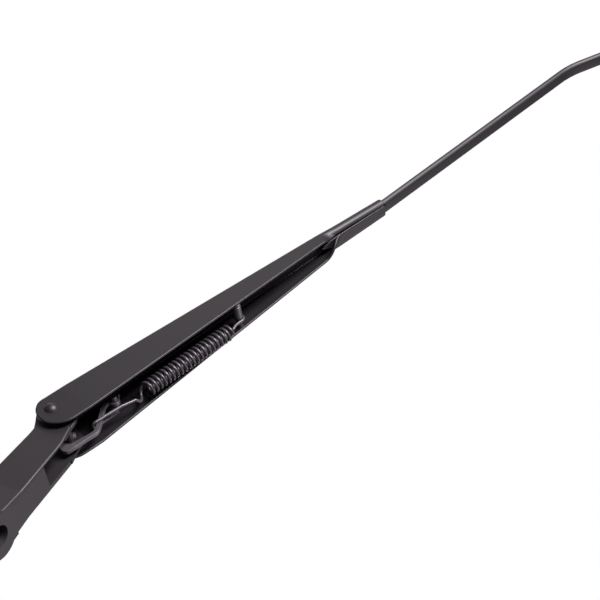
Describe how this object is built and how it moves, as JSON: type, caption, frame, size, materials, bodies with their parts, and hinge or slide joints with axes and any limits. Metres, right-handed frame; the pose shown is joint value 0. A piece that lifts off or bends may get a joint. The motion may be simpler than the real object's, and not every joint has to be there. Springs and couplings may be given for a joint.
{
  "type": "windscreen wiper arm",
  "caption": "Black wiper arm with a cast mounting head, a folded sheet retainer with its tension spring and link, and a flat bar that ends in a plain hook.",
  "frame": {"origin": "on the spindle axis, where the taper ends and the plain bore of the mounting head begins", "axes": "+Z along the spindle away from the car body, +X towards the blade, +Y towards the flange that the picture looks away from"},
  "size_m": [0.5788, 0.0332, 0.2103],
  "materials": {
    "black_paint": "satin black paint",
    "dark_steel": "dark steel with a thin black coat",
    "bush_plastic": "matte"
  },
  "bodies": {
    "head": {"mounting_head": "black_paint", "head_pin": "dark_steel", "bush_near": "bush_plastic", "bush_far": "bush_plastic", "hinge_sleeve": "dark_steel"},
    "arm": {"retainer": "black_paint", "hinge_rivet": "black_paint", "arm_rod": "black_paint", "anchor_pin": "dark_steel", "anchor_sleeve": "dark_steel"},
    "link": {"hook_link": "dark_steel", "link_pin": "dark_steel"},
    "spring": {"tension_spring": "dark_steel"}
  },
  "joints": [
    {"name": "arm_fold", "type": "hinge", "parent": "head", "child": "arm", "pos_m": [0.078, 0, 0.007], "axis": [0, -1, 0], "range_deg": [0, 70]},
    {"name": "link_swing", "type": "hinge", "parent": "head", "child": "link", "pos_m": [0.0726, 0, -0.005], "axis": [0, -1, 0], "range_deg": [0, 65.87]},
    {"name": "spring_swing", "type": "hinge", "parent": "arm", "child": "spring", "pos_m": [0.19502, 0, -0.04373], "axis": [0, -1, 0], "range_deg": [-4.11, 0], "deforming": ["tension_spring"]}
  ],
  "couplings": [
    {"joint": "link_swing", "follows": "arm_fold", "ratio": 0.941},
    {"joint": "spring_swing", "follows": "arm_fold", "ratio": -0.0587}
  ]
}
